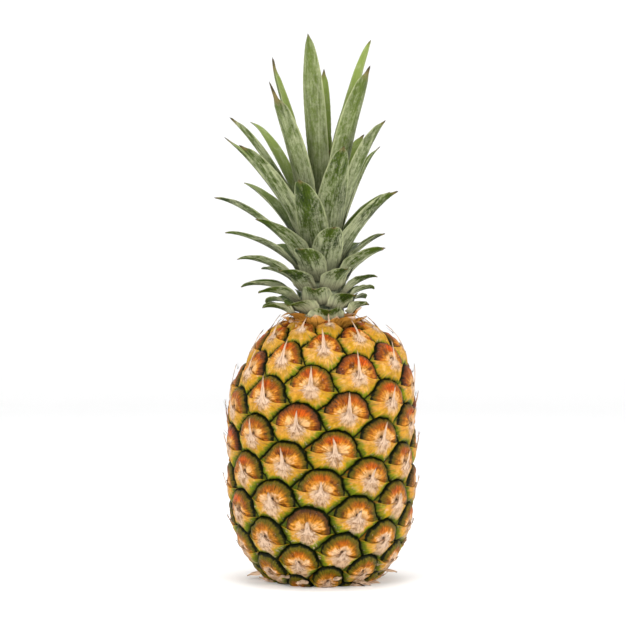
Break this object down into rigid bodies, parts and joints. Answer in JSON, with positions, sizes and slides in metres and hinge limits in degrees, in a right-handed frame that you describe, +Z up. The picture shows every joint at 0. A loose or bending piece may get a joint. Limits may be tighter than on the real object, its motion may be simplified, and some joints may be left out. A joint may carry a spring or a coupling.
{
  "type": "pineapple",
  "caption": "whole ripe pineapple standing upright, a golden fruit of spiral eyes with dry bract tips and a tall crown of grey-green leaves",
  "frame": {"origin": "middle of the cut stalk's face, on the surface the pineapple stands on", "axes": "+Z up along the fruit and its crown, -Y the front that the picture shows, +X to the right seen from the front"},
  "size_m": [0.1368, 0.1314, 0.3589],
  "materials": {
    "rind": "waxy yellow to orange-brown rind with dark green-black grooves, greener towards the base, and pale papery bract tips",
    "stalk": "dry fibrous cut stalk, pale tan with darker fibre ends",
    "stem": "pale green fleshy stem between the leaves' roots",
    "leaf": "stiff leaf, mid green under a whitish grey scurf, pale margins, some tips dry and brown"
  },
  "bodies": {
    "root": {"fruit": "rind", "cut_stalk": "stalk", "crown_stem": "stem", "leaf_01": "leaf", "leaf_02": "leaf", "leaf_03": "leaf", "leaf_04": "leaf", "leaf_05": "leaf", "leaf_06": "leaf", "leaf_07": "leaf", "leaf_08": "leaf", "leaf_09": "leaf", "leaf_10": "leaf", "leaf_11": "leaf", "leaf_12": "leaf", "leaf_13": "leaf", "leaf_14": "leaf", "leaf_15": "leaf", "leaf_16": "leaf", "leaf_17": "leaf", "leaf_18": "leaf", "leaf_19": "leaf", "leaf_20": "leaf", "leaf_21": "leaf", "leaf_22": "leaf", "leaf_23": "leaf", "leaf_24": "leaf", "leaf_25": "leaf", "leaf_26": "leaf", "leaf_27": "leaf", "leaf_28": "leaf", "leaf_29": "leaf", "leaf_30": "leaf", "leaf_31": "leaf", "leaf_32": "leaf", "leaf_33": "leaf", "leaf_34": "leaf", "leaf_35": "leaf", "leaf_36": "leaf", "leaf_37": "leaf", "leaf_38": "leaf", "leaf_39": "leaf", "leaf_40": "leaf", "leaf_41": "leaf", "leaf_42": "leaf", "leaf_43": "leaf", "leaf_44": "leaf", "leaf_45": "leaf", "leaf_46": "leaf", "leaf_47": "leaf", "leaf_48": "leaf", "leaf_49": "leaf", "leaf_50": "leaf", "leaf_51": "leaf", "leaf_52": "leaf", "leaf_53": "leaf", "leaf_54": "leaf"}
  },
  "joints": []
}
